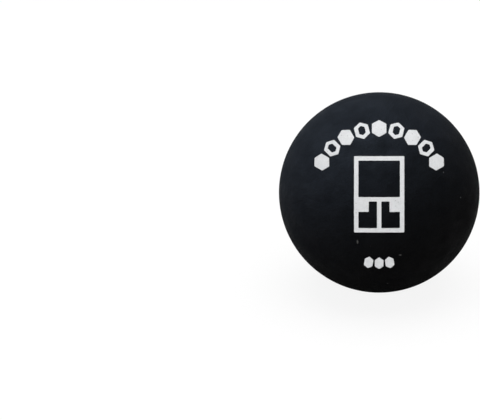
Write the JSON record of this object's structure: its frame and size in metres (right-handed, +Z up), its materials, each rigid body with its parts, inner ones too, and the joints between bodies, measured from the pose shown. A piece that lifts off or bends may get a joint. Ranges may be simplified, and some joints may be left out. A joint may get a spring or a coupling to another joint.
{
  "type": "squash ball",
  "caption": "Small hollow rubber ball of moulded half shells bonded at a seam, matt black with a flat white print on its face, for hitting against a wall with a racket.",
  "frame": {"origin": "the centre of the ball", "axes": "+Z is up from the point that the ball rests on, and -Y is the side that the print faces, with the middle of the print 22.5 degrees above it; +X is to the right of someone facing the print"},
  "size_m": [0.0424, 0.0424, 0.0424],
  "materials": {
    "rubber": "matt black butyl rubber, finely buffed outside",
    "cement": "cured rubber cement, smooth, dark brown-black",
    "ink": "flat white printing ink"
  },
  "bodies": {
    "root": {"front_half_shell": "rubber", "rear_half_shell": "rubber", "seam_cement": "cement", "arch_print": "ink", "court_print": "ink", "row_print": "ink"}
  },
  "joints": []
}
